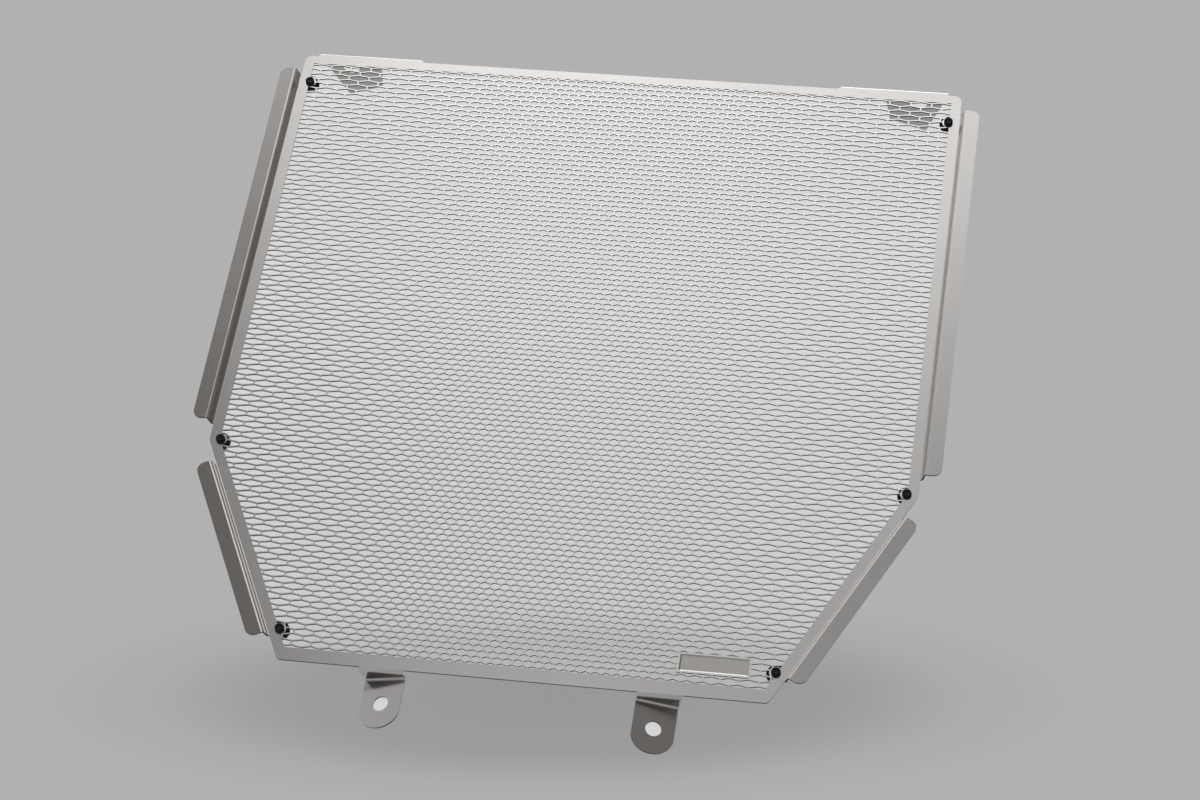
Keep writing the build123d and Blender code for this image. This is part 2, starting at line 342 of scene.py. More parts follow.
# %% Mesh field
side_band, top_band, bottom_band = 4.7, 4.6, 6.3
cut_front, cut_depth = front_y - 2.5, y_axis * 6.0
kept_front, kept_depth = cut_front - 1.0, y_axis * 8.0
field_top, field_bottom = top_z - top_band, bottom_z + bottom_band
field_half = half_width - side_band
field_slant = side_corner - slant_out * side_band
slope = slant.x / slant.z
field_shoulder = field_slant.z + (field_half - field_slant.x) / slope
field_foot = field_half + slope * (field_bottom - field_shoulder)
field_home = bpy.data.collections.new("mesh field")
kept_plates = bpy.data.collections.new("kept plates")
holes = bpy.data.collections.new("round holes")
field_corners = [(-field_half, field_top), (field_half, field_top), (field_half, field_shoulder),
                 (field_foot, field_bottom), (-field_foot, field_bottom), (-field_half, field_shoulder)]
slab("field", [(x, cut_front, z) for x, z in field_corners], cut_depth, field_home)
print("mesh field is", round(2 * field_half, 1), "by", round(field_top - field_bottom, 1), "mm")

# %% Rings and round holes
ring_r, bumper_hole_r, bumper_in = 2.9, 1.5, 5.1
upper_bumper_from_top, middle_bumper_above_corner, lower_bumper_from_corner = 16.3, 0.7, 107.0
lower_bumper = side_corner + slant * lower_bumper_from_corner - slant_out * bumper_in
bumper_places = {"upper": (half_width - bumper_in, top_z - upper_bumper_from_top),
                 "middle": (half_width - bumper_in, corner_z + middle_bumper_above_corner),
                 "lower": (lower_bumper.x, lower_bumper.z)}
hole_reach = 2.0


def disc(name, middle, across, up, radius, depth, home, steps=40):
    """A round cutter or ring: a circle in the plane of across and up, with a depth."""
    turns = [2 * pi * k / steps for k in range(steps)]
    circle = [middle + across * (radius * cos(t)) + up * (radius * sin(t)) for t in turns]
    return slab(name, circle, depth, home)


for side_name, flip in FLIPS:
    for level, (x, z) in bumper_places.items():
        middle = Vector((flip.x * x, 0, z))
        disc(f"ring {level} {side_name}", middle + y_axis * kept_front, x_axis, z_axis, ring_r, kept_depth,
             kept_plates)
        disc(f"bumper hole {level} {side_name}", middle + y_axis * cut_front, x_axis, z_axis, bumper_hole_r,
             cut_depth, holes)
    middle = flat_middle + down * tab_hole_drop - tab_back * hole_reach
    disc(f"tab hole {side_name}", middle * flip, tab_across * flip, z_axis, tab_hole_d / 2,
         tab_back * flip * (2 * hole_reach), holes)
    middle = Vector((flip.x * upper_hole_x, 0, hole_reach))
    disc(f"bolt hole {side_name}", middle, x_axis, y_axis, upper_hole_d / 2, down * (2 * hole_reach), holes)

# %% Badge plate and pocket
badge_x, badge_z = 81.8, bottom_z + 16.1
badge_half = (15.8, 4.95)
pocket_half = (15.0, 4.15)
pocket_depth, pocket_run, pocket_above = 0.3, 0.7, 1.5
square = ((-1, -1), (1, -1), (1, 1), (-1, 1))


def badge_rectangle(y, half_x, half_z):
    """The corners of a rectangle on the badge's middle, at a depth."""
    return [(badge_x + a * half_x, y, badge_z + b * half_z) for a, b in square]


slab("badge plate", badge_rectangle(kept_front, *badge_half), kept_depth, kept_plates)
pocket_points = []
for y in (front_y - pocket_above, front_y + pocket_depth):
    grow = (front_y - y) * pocket_run / pocket_depth
    pocket_points += badge_rectangle(y, *(half + grow for half in pocket_half))
closed_solid("badge pocket", pocket_points, between_rings(4), {"cut edge": set(), "bend": set()}, holes)

# %% [markdown]
# ## Node helpers
# Both geometry trees and materials are built from nodes. One small helper adds a node, sets its options
# and fills its inputs in order: a socket is linked, a number is written in, and None leaves the input as
# it is. A calculator adds Math nodes to one tree.

# %% Node helpers
FLOAT, WHOLE = "NodeSocketFloat", "NodeSocketInt"
GEOMETRY, COLLECTION, MATERIAL = "NodeSocketGeometry", "NodeSocketCollection", "NodeSocketMaterial"


def add_node(tree, kind, *inputs, **options):
    """Adds a node to a tree and fills its inputs in order."""
    node = tree.nodes.new(kind)
    for option, value in options.items():
        setattr(node, option, value)
    for socket, value in zip(node.inputs, inputs):
        if isinstance(value, bpy.types.NodeSocket):
            tree.links.new(value, socket)
        elif value is not None:
            socket.default_value = value
    return node


def calculator(tree):
    """A function that adds a Math node to the tree and gives its result."""
    def calculate(operation, *inputs):
        return add_node(tree, "ShaderNodeMath", *inputs, operation=operation).outputs[0]
    return calculate


def new_tree(name, inputs, outputs, kind="GeometryNodeTree"):
    """A node tree with named inputs and outputs, and its two end nodes."""
    tree = bpy.data.node_groups.new(name, kind)
    for in_out, sockets in (("INPUT", inputs), ("OUTPUT", outputs)):
        for title, socket_type in sockets:
            tree.interface.new_socket(title, in_out=in_out, socket_type=socket_type)
    return tree, tree.nodes.new("NodeGroupInput"), tree.nodes.new("NodeGroupOutput")


print("node helpers:", [helper.__name__ for helper in (add_node, calculator, new_tree)])

# %% [markdown]
# ## Where a cell stands
# The mesh's cells are narrow in the middle of the panel and wide beside its bands, and in between their
# width grows evenly with the distance. Counting cells from the middle, a cell's place is then a straight
# line, an exponential and a straight line again. This small tree turns a cell's number into its place.

# %% Cell place tree
cell_sizes = ("Narrow cell", "Wide cell", "Narrow zone", "Wide zone")
place_tree, start, end = new_tree("Cell place", [(title, FLOAT) for title in ("Number", *cell_sizes)],
                                  [("Place", FLOAT)])
calc = calculator(place_tree)
number, narrow, wide, narrow_zone, wide_zone = start.outputs[:5]
count = calc("ABSOLUTE", number)
growth = calc("DIVIDE", calc("SUBTRACT", wide, narrow), calc("SUBTRACT", wide_zone, narrow_zone))
narrow_count = calc("DIVIDE", narrow_zone, narrow)
grown_count = calc("DIVIDE", calc("LOGARITHM", calc("DIVIDE", wide, narrow), e), growth)
near_part = calc("MULTIPLY", calc("MINIMUM", count, narrow_count), narrow)
past_narrow = calc("MAXIMUM", calc("SUBTRACT", count, narrow_count), 0.0)
growing = calc("MINIMUM", past_narrow, grown_count)
swell = calc("SUBTRACT", calc("EXPONENT", calc("MULTIPLY", growth, growing)), 1.0)
middle_part = calc("DIVIDE", calc("MULTIPLY", swell, narrow), growth)
far_part = calc("MULTIPLY", calc("SUBTRACT", past_narrow, growing), wide)
distance = calc("ADD", calc("ADD", near_part, middle_part), far_part)
place_tree.links.new(calc("MULTIPLY", distance, calc("SIGN", number)), end.inputs[0])
print("cell place tree has", len(place_tree.nodes), "nodes")

# %% [markdown]
# ## The fine mesh
# The real mesh has about five thousand six-sided openings, laser cut from the sheet. They are a clear
# case for Geometry Nodes: a point for each cell, a six-sided prism on each point, and every corner of it
# moved to its place by arithmetic. The prisms are trimmed to the field, the rings and the badge plate are
# taken out of them, and what is left is cut from the united sheet.

# %% A point and a prism for each cell
mesh_lengths = ("Row pitch", *cell_sizes, "Web", "Rise", "First row", "Front")
mesh_tree, start, end = new_tree(
    "Perforated sheet",
    [("Geometry", GEOMETRY), *((title, FLOAT) for title in mesh_lengths), ("Rows", WHOLE),
     ("Columns each side", WHOLE), ("Sheet pieces", COLLECTION), ("Mesh field", COLLECTION),
     ("Kept plates", COLLECTION), ("Round holes", COLLECTION), ("Brushed face", MATERIAL),
     ("Cut edge", MATERIAL)],
    [("Geometry", GEOMETRY)])
given = {socket.name: socket for socket in start.outputs if socket.name}
calc = calculator(mesh_tree)
prism_depth = 4.0


def keep(geometry, title, field, data_type="FLOAT", domain="POINT"):
    """Stores a field on the geometry under a name."""
    node = add_node(mesh_tree, "GeometryNodeStoreNamedAttribute", geometry, data_type=data_type,
                    domain=domain)
    node.inputs["Name"].default_value = title
    if isinstance(field, bpy.types.NodeSocket):
        mesh_tree.links.new(field, node.inputs["Value"])
    else:
        node.inputs["Value"].default_value = field
    return node.outputs[0]


columns = calc("ADD", calc("MULTIPLY", given["Columns each side"], 2.0), 1.0)
index = add_node(mesh_tree, "GeometryNodeInputIndex").outputs[0]
row = calc("FLOOR", calc("DIVIDE", calc("ADD", index, 0.5), columns))
in_row = calc("SUBTRACT", index, calc("MULTIPLY", row, columns))
column = calc("SUBTRACT", in_row, given["Columns each side"])
shift = calc("MULTIPLY", calc("MODULO", row, 2.0), 0.5)
points = add_node(mesh_tree, "GeometryNodePoints", calc("MULTIPLY", columns, given["Rows"]))
cells = keep(points.outputs[0], "number", calc("ADD", column, shift))
row_height = calc("SUBTRACT", given["First row"], calc("MULTIPLY", row, given["Row pitch"]))
cells = keep(cells, "height", row_height)
prism = add_node(mesh_tree, "GeometryNodeMeshCylinder", 6, 1, 1, 1.0, prism_depth * MM, fill_type="NGON")
prism = add_node(mesh_tree, "GeometryNodeTransform", prism.outputs[0])
prism.inputs["Rotation"].default_value = (0, 0, pi / 6)
position = add_node(mesh_tree, "GeometryNodeInputPosition").outputs[0]
prism = keep(prism.outputs[0], "corner", position, "FLOAT_VECTOR")
prisms = add_node(mesh_tree, "GeometryNodeInstanceOnPoints", cells, None, prism)
prisms = add_node(mesh_tree, "GeometryNodeRealizeInstances", prisms.outputs[0])
print("perforated sheet tree has", len(given), "named inputs")

# %% Every corner to its place


def recall(title, data_type="FLOAT"):
    """Reads a field that was stored under a name."""
    return add_node(mesh_tree, "GeometryNodeInputNamedAttribute", title, data_type=data_type).outputs[0]


def cell_place(offset):
    """The place of the line at an offset from the cell's middle, counted in cells."""
    group = add_node(mesh_tree, "GeometryNodeGroup", node_tree=place_tree)
    mesh_tree.links.new(calc("ADD", recall("number"), offset), group.inputs[0])
    for title in cell_sizes:
        mesh_tree.links.new(given[title], group.inputs[title])
    return group.outputs[0]


corner = add_node(mesh_tree, "ShaderNodeSeparateXYZ", recall("corner", "FLOAT_VECTOR"))
aside = calc("ROUND", corner.outputs["X"])
upward = calc("SIGN", corner.outputs["Y"])
half_web = calc("MULTIPLY", given["Web"], 0.5)
half_cell = calc("MULTIPLY", calc("SUBTRACT", cell_place(0.5), cell_place(-0.5)), 0.5)
web_slope = calc("DIVIDE", given["Rise"], half_cell)
slope_length = calc("SQRT", calc("ADD", 1.0, calc("MULTIPLY", web_slope, web_slope)))
half_height = calc("MULTIPLY", calc("ADD", given["Row pitch"], given["Rise"]), 0.5)
peak = calc("SUBTRACT", half_height, calc("MULTIPLY", half_web, slope_length))
fall = calc("SUBTRACT", given["Rise"], calc("MULTIPLY", web_slope, half_web))
reach = calc("SUBTRACT", peak, calc("MULTIPLY", calc("ABSOLUTE", aside), fall))
corner_x = calc("SUBTRACT", cell_place(calc("MULTIPLY", aside, 0.5)), calc("MULTIPLY", aside, half_web))
corner_y = calc("SUBTRACT", given["Front"], corner.outputs["Z"])
corner_height = calc("ADD", recall("height"), calc("MULTIPLY", upward, reach))
place = add_node(mesh_tree, "ShaderNodeCombineXYZ", corner_x, corner_y, corner_height)
prisms = add_node(mesh_tree, "GeometryNodeSetPosition", prisms.outputs[0], None, place.outputs[0])
print("perforated sheet tree has", len(mesh_tree.nodes), "nodes so far")

# %% Trim the prisms and cut the sheet


def pieces_of(title):
    """The objects of a collection, as separate pieces."""
    return add_node(mesh_tree, "GeometryNodeCollectionInfo", given[title], True, False).outputs[0]


def boolean(operation, first, *others):
    """Unites, cuts or trims closed solids."""
    node = add_node(mesh_tree, "GeometryNodeMeshBoolean", operation=operation, solver="MANIFOLD")
    if operation == "DIFFERENCE":
        mesh_tree.links.new(first, node.inputs["Mesh 1"])
    else:
        others = (first, *others)
    for other in others:
        mesh_tree.links.new(other, node.inputs["Mesh 2"])
    return node.outputs[0]


def dressed(geometry, where, title):
    """Gives a finish to the faces where a field is true, or to all of them."""
    return add_node(mesh_tree, "GeometryNodeSetMaterial", geometry, where, given[title]).outputs[0]


trimmed = boolean("INTERSECT", prisms.outputs[0], pieces_of("Mesh field"))
trimmed = boolean("DIFFERENCE", trimmed, pieces_of("Kept plates"))
trimmed = keep(trimmed, "cut edge", 1.0, domain="FACE")
trimmed = keep(trimmed, "bend", 0.0, domain="FACE")
united = boolean("UNION", pieces_of("Sheet pieces"))
perforated = boolean("DIFFERENCE", united, trimmed, pieces_of("Round holes"))
perforated = add_node(mesh_tree, "GeometryNodeRealizeInstances", perforated).outputs[0]
perforated = dressed(perforated, None, "Brushed face")
perforated = dressed(perforated, calc("GREATER_THAN", recall("cut edge"), 0.5), "Cut edge")
mesh_tree.links.new(perforated, end.inputs[0])
print("perforated sheet tree has", len(mesh_tree.nodes), "nodes")

# %% [markdown]
# ## Shared surface effects
# Mottle is the slow, cloudy change of tone that steel, rubber and paint all show. It is a node group that
# is built once and placed in each finish with its own values. Hairline is the fine grain that an abrasive
# belt leaves: noise that is squeezed across the grain and drawn out along it, here from side to side of
# the sheet. It is a group too, so that the brushed face stays easy to read.

# %% Mottle and hairline groups


def noise_group(name, titles):
    """A shader group with named inputs, its Object coordinates and a noise texture."""
    inputs = [(title, FLOAT) for title in titles]
    tree, start, end = new_tree(name, inputs, [("Value", FLOAT)], "ShaderNodeTree")
    place = add_node(tree, "ShaderNodeTexCoord").outputs["Object"]
    return tree, start.outputs, end.inputs[0], place, add_node(tree, "ShaderNodeTexNoise")


def stretch(tree, noise, low, high, result):
    """Spreads the noise between low and high to a value from 0 to 1."""
    spread = add_node(tree, "ShaderNodeMapRange", noise.outputs[0], low, high, 0.0, 1.0)
    tree.links.new(spread.outputs[0], result)


mottle_tree, given, result, place, cloud = noise_group("Mottle", ("Scale", "Detail"))
mottle_tree.links.new(place, cloud.inputs["Vector"])
for title in ("Scale", "Detail"):
    mottle_tree.links.new(given[title], cloud.inputs[title])
stretch(mottle_tree, cloud, 0.3, 0.7, result)

hair_tree, given, result, place, hairs = noise_group("Hairline", ("Lines per metre", "Length per metre"))
squeeze = add_node(hair_tree, "ShaderNodeCombineXYZ", given[1], given[0], given[0])
squeezed = add_node(hair_tree, "ShaderNodeVectorMath", place, squeeze.outputs[0], operation="MULTIPLY")
hair_tree.links.new(squeezed.outputs[0], hairs.inputs["Vector"])
hairs.inputs["Scale"].default_value = 1.0
hairs.inputs["Detail"].default_value = 3.0
stretch(hair_tree, hairs, 0.25, 0.75, result)
print("shader groups:", mottle_tree.name, "and", hair_tree.name)

# %% [markdown]
# ## The finishes
# What is the same all over a surface is written on the shader, and only the tone, the roughness and the
# grain come from nodes. A few helpers start a material, place a shared effect in it and go from one tone
# to another.

# %% Finish helpers


def finish(name, metallic):
    """A new material, its node tree and the inputs of its main shader."""
    material = bpy.data.materials.new(name)
    material.use_nodes = True
    shader = material.node_tree.nodes["Principled BSDF"]
    shader.inputs["Metallic"].default_value = metallic
    return material, material.node_tree, shader.inputs


def effect(tree, group_tree, **values):
    """Places a shared effect in a material, with its own values."""
    group = add_node(tree, "ShaderNodeGroup", node_tree=group_tree)
    for title, amount in values.items():
        group.inputs[title.replace("_", " ")].default_value = amount
    return group.outputs[0]


def numbers(tree, factor, low, high):
    """A number that goes from low to high with a factor."""
    return add_node(tree, "ShaderNodeMapRange", factor, 0.0, 1.0, low, high).outputs[0]


def tones(tree, factor, *ends, blend="MIX"):
    """A tone between two, by a factor. Each of the two is a socket or a colour."""
    mix = add_node(tree, "ShaderNodeMix", factor, data_type="RGBA", blend_type=blend)
    for socket, tone in zip([s for s in mix.inputs if s.type == "RGBA"], ends):
        if isinstance(tone, tuple):
            socket.default_value = (*tone, 1)
        else:
            tree.links.new(tone, socket)
    return next(s for s in mix.outputs if s.type == "RGBA")


def roughen(tree, inputs, height, strength, distance):
    """Lets a height tilt the surface."""
    bump = add_node(tree, "ShaderNodeBump", strength, distance)
    tree.links.new(height, bump.inputs["Height"])
    tree.links.new(bump.outputs[0], inputs["Normal"])


def along(tree, place, direction):
    """How far a place lies along a direction."""
    node = add_node(tree, "ShaderNodeVectorMath", place, tuple(direction), operation="DOT_PRODUCT")
    return node.outputs["Value"]


def beyond_sides(tree, place, sides):
    """How far a place lies outside a shape. Each side is a direction outwards and a distance."""
    calc = calculator(tree)
    distances = [calc("SUBTRACT", along(tree, place, outwards), edge) for outwards, edge in sides]
    farthest = distances[0]
    for other in distances[1:]:
        farthest = calc("MAXIMUM", farthest, other)
    return farthest


print("finish helpers:", [helper.__name__ for helper in (effect, numbers, tones, roughen, beyond_sides)])

# %% [markdown]
# ## Brushed stainless steel
# The face is brushed stainless steel with a faint warm tint. Inside the mesh field the fine webs get a
# paler tone than the band, a painted sheen, and the field's outline masks this second tone. An anisotropic
# shader could stretch the highlight, but a fine grain in the tone, the roughness and the height looks right
# from near and far, and a baked texture can keep it.

# %% Brushed face
brushed, tree, inputs = finish("brushed_stainless", 1.0)
grain = effect(tree, hair_tree, Lines_per_metre=5000.0, Length_per_metre=70.0)
cloud = effect(tree, mottle_tree, Scale=35.0, Detail=5.0)
warm_tone = tones(tree, cloud, (0.715, 0.695, 0.68), (0.755, 0.735, 0.72))
grain_tone = tones(tree, grain, (0.96, 0.96, 0.96), (1.0, 1.0, 1.0))
band_tone = tones(tree, 1.0, warm_tone, grain_tone, blend="MULTIPLY")
# Painted sheen: the webs inside the mesh field get this paler tone than the band.
painted_web_sheen = (0.92, 0.905, 0.89)
slant_edge = field_slant.dot(slant_out)
field_sides = [(z_axis, field_top), (down, -field_bottom)]
for _, flip in FLIPS:
    field_sides += [(x_axis * flip, field_half), (slant_out * flip, slant_edge)]
spot = add_node(tree, "ShaderNodeTexCoord").outputs["Object"]
outside = beyond_sides(tree, spot, [(outwards, edge * MM) for outwards, edge in field_sides])
on_web = add_node(tree, "ShaderNodeMapRange", outside, 0.0, -0.4 * MM, 0.0, 1.0).outputs[0]
tree.links.new(tones(tree, on_web, band_tone, painted_web_sheen), inputs["Base Color"])
tree.links.new(numbers(tree, grain, 0.17, 0.22), inputs["Roughness"])
roughen(tree, inputs, grain, 0.03, 0.03 * MM)
print("finish:", brushed.name, "with", len(tree.nodes), "nodes")

# %% [markdown]
# ## Cut edge and etched floor
# The cut edges are duller and darker, because the laser leaves a rough wall. Their tone also holds painted
# shade: walls that face up or down are nearly black and walls that face sideways are paler, so each face
# of the sheet carries a number for its direction, and that mixes the tone. The floor of the badge's pocket
# is etched matt.

# %% Cut edge and etched floor
cut_edge, tree, inputs = finish("laser_cut_edge", 1.0)
scored = effect(tree, mottle_tree, Scale=900.0, Detail=3.0)
# Painted shade: the direction number gives walls that face up or down the near-black tone.
sideways = add_node(tree, "ShaderNodeAttribute", attribute_name="sideways").outputs["Fac"]
bright = calculator(tree)("MULTIPLY_ADD", scored, 0.1, sideways)
tree.links.new(tones(tree, bright, (0.03, 0.028, 0.027), (0.56, 0.545, 0.53)), inputs["Base Color"])
tree.links.new(numbers(tree, scored, 0.42, 0.58), inputs["Roughness"])
roughen(tree, inputs, scored, 0.2, 0.1 * MM)

etched, tree, inputs = finish("etched_floor", 1.0)
bitten = effect(tree, mottle_tree, Scale=1500.0, Detail=3.0)
tree.links.new(tones(tree, bitten, (0.58, 0.56, 0.54), (0.66, 0.64, 0.62)), inputs["Base Color"])
tree.links.new(numbers(tree, bitten, 0.30, 0.38), inputs["Roughness"])
print("finishes:", cut_edge.name, "and", etched.name)

# %% [markdown]
# ## Rubber
# The bumpers are matt black rubber with a fine, cloudy skin, which breaks up what little it reflects. A
# low specular level keeps them black in a pale room.

# %% Black rubber
rubber, tree, inputs = finish("black_rubber", 0.0)
inputs["Specular IOR Level"].default_value = 0.25
cloud = effect(tree, mottle_tree, Scale=600.0, Detail=4.0)
tree.links.new(tones(tree, cloud, (0.005, 0.005, 0.005), (0.010, 0.010, 0.0105)), inputs["Base Color"])
tree.links.new(numbers(tree, cloud, 0.42, 0.60), inputs["Roughness"])
roughen(tree, inputs, cloud, 0.15, 0.1 * MM)
print("finish:", rubber.name)

# %% [markdown]
# ## Cutting the sheet
# The tree runs on an empty object, with every size written to its own input. The result is copied to a
# plain mesh, and the modifier and the helper solids are removed.

# %% Perforated sheet
sizes = {"Row pitch": 2.8282 * MM, "Narrow cell": 4.55 * MM, "Wide cell": 9.915 * MM,
         "Narrow zone": 52.2 * MM, "Wide zone": 109.8 * MM, "Web": 0.55 * MM, "Rise": 0.877 * MM,
         "First row": (top_z - 0.944) * MM, "Front": (front_y + sheet_t / 2) * MM, "Rows": 119,
         "Columns each side": 27, "Sheet pieces": sheet_pieces, "Mesh field": field_home,
         "Kept plates": kept_plates, "Round holes": holes, "Brushed face": brushed, "Cut edge": cut_edge}
holder = bpy.data.objects.new("holder", bpy.data.meshes.new("holder"))
bpy.context.scene.collection.objects.link(holder)
modifier = holder.modifiers.new("Perforated sheet", "NODES")
modifier.node_group = mesh_tree
for item in mesh_tree.interface.items_tree:
    if item.in_out == "INPUT" and item.name in sizes:
        modifier[item.identifier] = sizes[item.name]
evaluated = holder.evaluated_get(bpy.context.evaluated_depsgraph_get())
sheet_mesh = bpy.data.meshes.new_from_object(evaluated)
holder.modifiers.remove(modifier)
bpy.data.objects.remove(holder)
for home in (sheet_pieces, field_home, kept_plates, holes):
    for helper in list(home.objects):
        bpy.data.objects.remove(helper)
    bpy.data.collections.remove(home)
sheet_mesh.name = "perforated_sheet"
sheet = bpy.data.objects.new("perforated_sheet", sheet_mesh)
bpy.context.scene.collection.objects.link(sheet)
print("sheet:", len(sheet_mesh.vertices), "points,", sum(len(p.vertices) - 2 for p in sheet_mesh.polygons),
      "triangles,", [m.name if m else None for m in sheet_mesh.materials])

# %% [markdown]
# ## Shading the sheet
# The bends are shaded smooth and everything flat stays flat, so the highlight turns round a bend without
# smearing over the panel. The faces of the badge's pocket get their own finish, and every face gets the
# number for its direction: 1 where it faces sideways and 0 where it faces up or down.

# %% Smooth bends and flat flats
sheet_mesh.set_sharp_from_angle(angle=radians(25))
in_bend = [mark.value > 0.5 for mark in sheet_mesh.attributes["bend"].data]
sheet_mesh.materials.append(etched)
etched_slot = len(sheet_mesh.materials) - 1
slack = 0.01
for face in sheet_mesh.polygons:
    face.use_smooth = in_bend[face.index]
    x, y, z = face.center / MM
    over_pocket = abs(x - badge_x) < pocket_half[0] and abs(z - badge_z) < pocket_half[1]
    if over_pocket and slack < y - front_y < pocket_depth + slack:
        face.material_index = etched_slot
for name in ("number", "height", "corner", "cut edge", "bend"):
    if name in sheet_mesh.attributes:
        sheet_mesh.attributes.remove(sheet_mesh.attributes[name])
# The direction number paints shade on the cut edges, near black where a wall faces up or down.
level_from, sideways_to = 0.75, 0.25
rises = [(level_from - abs(face.normal.z)) / (level_from - sideways_to) for face in sheet_mesh.polygons]
sideways = [min(1.0, max(0.0, rise)) for rise in rises]
sheet_mesh.attributes.new("sideways", "FLOAT", "FACE").data.foreach_set("value", sideways)
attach(sheet, "root")
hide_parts("guard_sheet")
print("smooth faces:", sum(face.use_smooth for face in sheet_mesh.polygons),
      "etched faces:", sum(face.material_index == etched_slot for face in sheet_mesh.polygons))

# %% [markdown]
# ## The rubber bumpers
# Each bumper is a small moulding that is pushed through a hole: a round head with a shallow ring in its
# face, a stem in the hole and a larger domed body behind that rests on what the guard covers. A turned
# shape is drawn as a profile of radius and depth, and the profile is swept round the hole's axis.

# %% Bumper profile
head_profile = [(0.0, -1.35), (0.9, -1.4), (1.15, -1.52), (1.45, -1.6), (1.75, -1.56), (1.98, -1.4),
                (2.08, -1.15), (2.1, -0.85), (2.1, -0.25), (2.04, -0.08), (1.9, 0.0)]
stem_profile = [(1.42, 0.0), (1.4, 0.1), (1.4, 0.6), (1.42, 0.7)]
body_r, body_end, body_round, round_steps = 4.2, 4.3, 1.8, 12
body_profile = [(3.9, 0.7), (4.1, 0.77), (body_r, 0.98)]
for k in range(round_steps + 1):
    swing = pi / 2 * k / round_steps
    body_profile.append((body_r - body_round * (1 - cos(swing)), body_end - body_round * (1 - sin(swing))))
bumper_profile = head_profile + stem_profile + body_profile + [(0.0, body_end)]
print("bumper profile has", len(bumper_profile), "points")

# %% Bumpers


def bumper(name, x, z, steps=48):
    """A turned rubber bumper whose axis runs back through the sheet at x, z."""
    work = bmesh.new()
    rings = []
    for radius, depth in bumper_profile:
        turns = [2 * pi * k / steps for k in range(1 if radius == 0 else steps)]
        places = [Vector((x + radius * cos(t), front_y + depth, z + radius * sin(t))) for t in turns]
        rings.append([work.verts.new(place * MM) for place in places])
    for near, far in zip(rings, rings[1:]):
        for k in range(steps):
            corners = [near[k % len(near)], near[(k + 1) % len(near)],
                       far[(k + 1) % len(far)], far[k % len(far)]]
            work.faces.new(list(dict.fromkeys(corners)))
    bmesh.ops.recalc_face_normals(work, faces=work.faces)
    mesh = bpy.data.meshes.new(name)
    work.to_mesh(mesh)
    work.free()
    mesh.shade_smooth()
    mesh.set_sharp_from_angle(angle=radians(50))
    mesh.materials.append(rubber)
    made = bpy.data.objects.new(name, mesh)
    bpy.context.scene.collection.objects.link(made)
    return made


for level, (x, z) in bumper_places.items():
    for side_name, flip in FLIPS:
        made = bumper(f"rubber_{level}_{side_name}", flip.x * x, z)
        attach(made, "root")
        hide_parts(f"bumper_{level}_{side_name}")
print("bumper has", len(made.data.polygons), "faces")

# %% [markdown]
# ## Floor
# The guard hangs by its upper tabs, so the pale floor lies well below it. It only has to be plain: one
# large square with a faint mottle is enough.

# %% Floor
floor_half, floor_z = 6.0, -1.2
floor_paint, tree, inputs = finish("floor_paint", 0.0)
cloud = effect(tree, mottle_tree, Scale=2.0, Detail=2.0)
tree.links.new(tones(tree, cloud, (0.78, 0.78, 0.78), (0.82, 0.82, 0.82)), inputs["Base Color"])
inputs["Roughness"].default_value = 0.8


def stage_plate(name, corners, material):
    """A flat square of the stage."""
    mesh = bpy.data.meshes.new(name)
    mesh.from_pydata(corners, [], [(0, 1, 2, 3)])
    mesh.materials.append(material)
    made = bpy.data.objects.new(name, mesh)
    bpy.context.scene.collection.objects.link(made)
    return made


stage_plate("floor", [(a * floor_half, b * floor_half, floor_z) for a, b in square], floor_paint)
print("floor at z =", floor_z, "m")

# %% [markdown]
# ## Two dark cards that paint a dark reflection
# The inside corner at the top of a lower tab sends a look back the way it came, like a cat's eye, and there
# the steel shows a dark reflection. A small black card before each corner paints that dark reflection: the
# camera, the other surfaces and the shadows don't see the card, only the steel does.

# %% Dark cards
# Black card for the painted dark reflection in the tabs' corners.
dark_reflection_card, tree, inputs = finish("dark_reflection_card", 0.0)
inputs["Base Color"].default_value = (0.01, 0.01, 0.01, 1)
inputs["Roughness"].default_value = 0.9
inputs["Specular IOR Level"].default_value = 0.0
card_distance, card_half = 0.12, 0.025
card_ways = {"left": Vector((-0.67, -0.59, -0.46)), "right": Vector((0.24, -0.85, -0.47))}
tab_corner = Vector((tab_x, front_y + 4.0, bottom_z - 3.0))
for side_name, flip in FLIPS:
    facing = card_ways[side_name].normalized()
    across = facing.cross(z_axis).normalized()
    rise = across.cross(facing)
    middle = tab_corner * flip * MM + facing * card_distance
    corners = [middle + (across * a + rise * b) * card_half for a, b in square]
    card = stage_plate(f"card {side_name}", corners, dark_reflection_card)
    # Only the steel's reflections see the card: it paints a dark reflection into the tab's corner.
    card.visible_camera = card.visible_diffuse = card.visible_shadow = card.visible_transmission = False
print("cards stand", card_distance / MM, "mm before the tabs")

# %% [markdown]
# ## Camera
# The camera looks up at the guard from in front and below. Its place, its direction and its long lens are
# those that put the panel's corners where the photograph has them. The lens is given as a share of the
# frame's width, which is 1200 pixels.

# %% Camera
film_width, frame_pixels, focal_pixels = 36.0, 1200.0, 3294.0
eye = Vector((0.2304, -1.2320, -1.0025))
look = Vector((-0.1464, 0.8240, 0.5473)).normalized()
right = Vector((0.9863, 0.0791, 0.1451))
right = (right - look * right.dot(look)).normalized()
up = right.cross(look)
camera_data = bpy.data.cameras.new("camera")
camera_data.sensor_width, camera_data.sensor_fit = film_width, "HORIZONTAL"
camera_data.lens = film_width * focal_pixels / frame_pixels
camera = bpy.data.objects.new("camera", camera_data)
camera.matrix_world = Matrix.Translation(eye) @ Matrix((right, up, -look)).transposed().to_4x4()
bpy.context.scene.collection.objects.link(camera)
bpy.context.scene.camera = camera
print("camera lens:", round(camera_data.lens, 2), "mm")

# %% [markdown]
# ## The room's light
# Brushed steel shows what stands in front of it, so the sheet's tones are set by the room. A photographer
# places pale screens and dark gaps round the part for this. Here they are painted into the world, which
# is pale behind and at the left, dim at the right, and has a narrow bright screen just left of the front.
# A second ramp adds a pale ceiling, whose share differs from side to side. Directions are angles from the
# front, positive to the right.

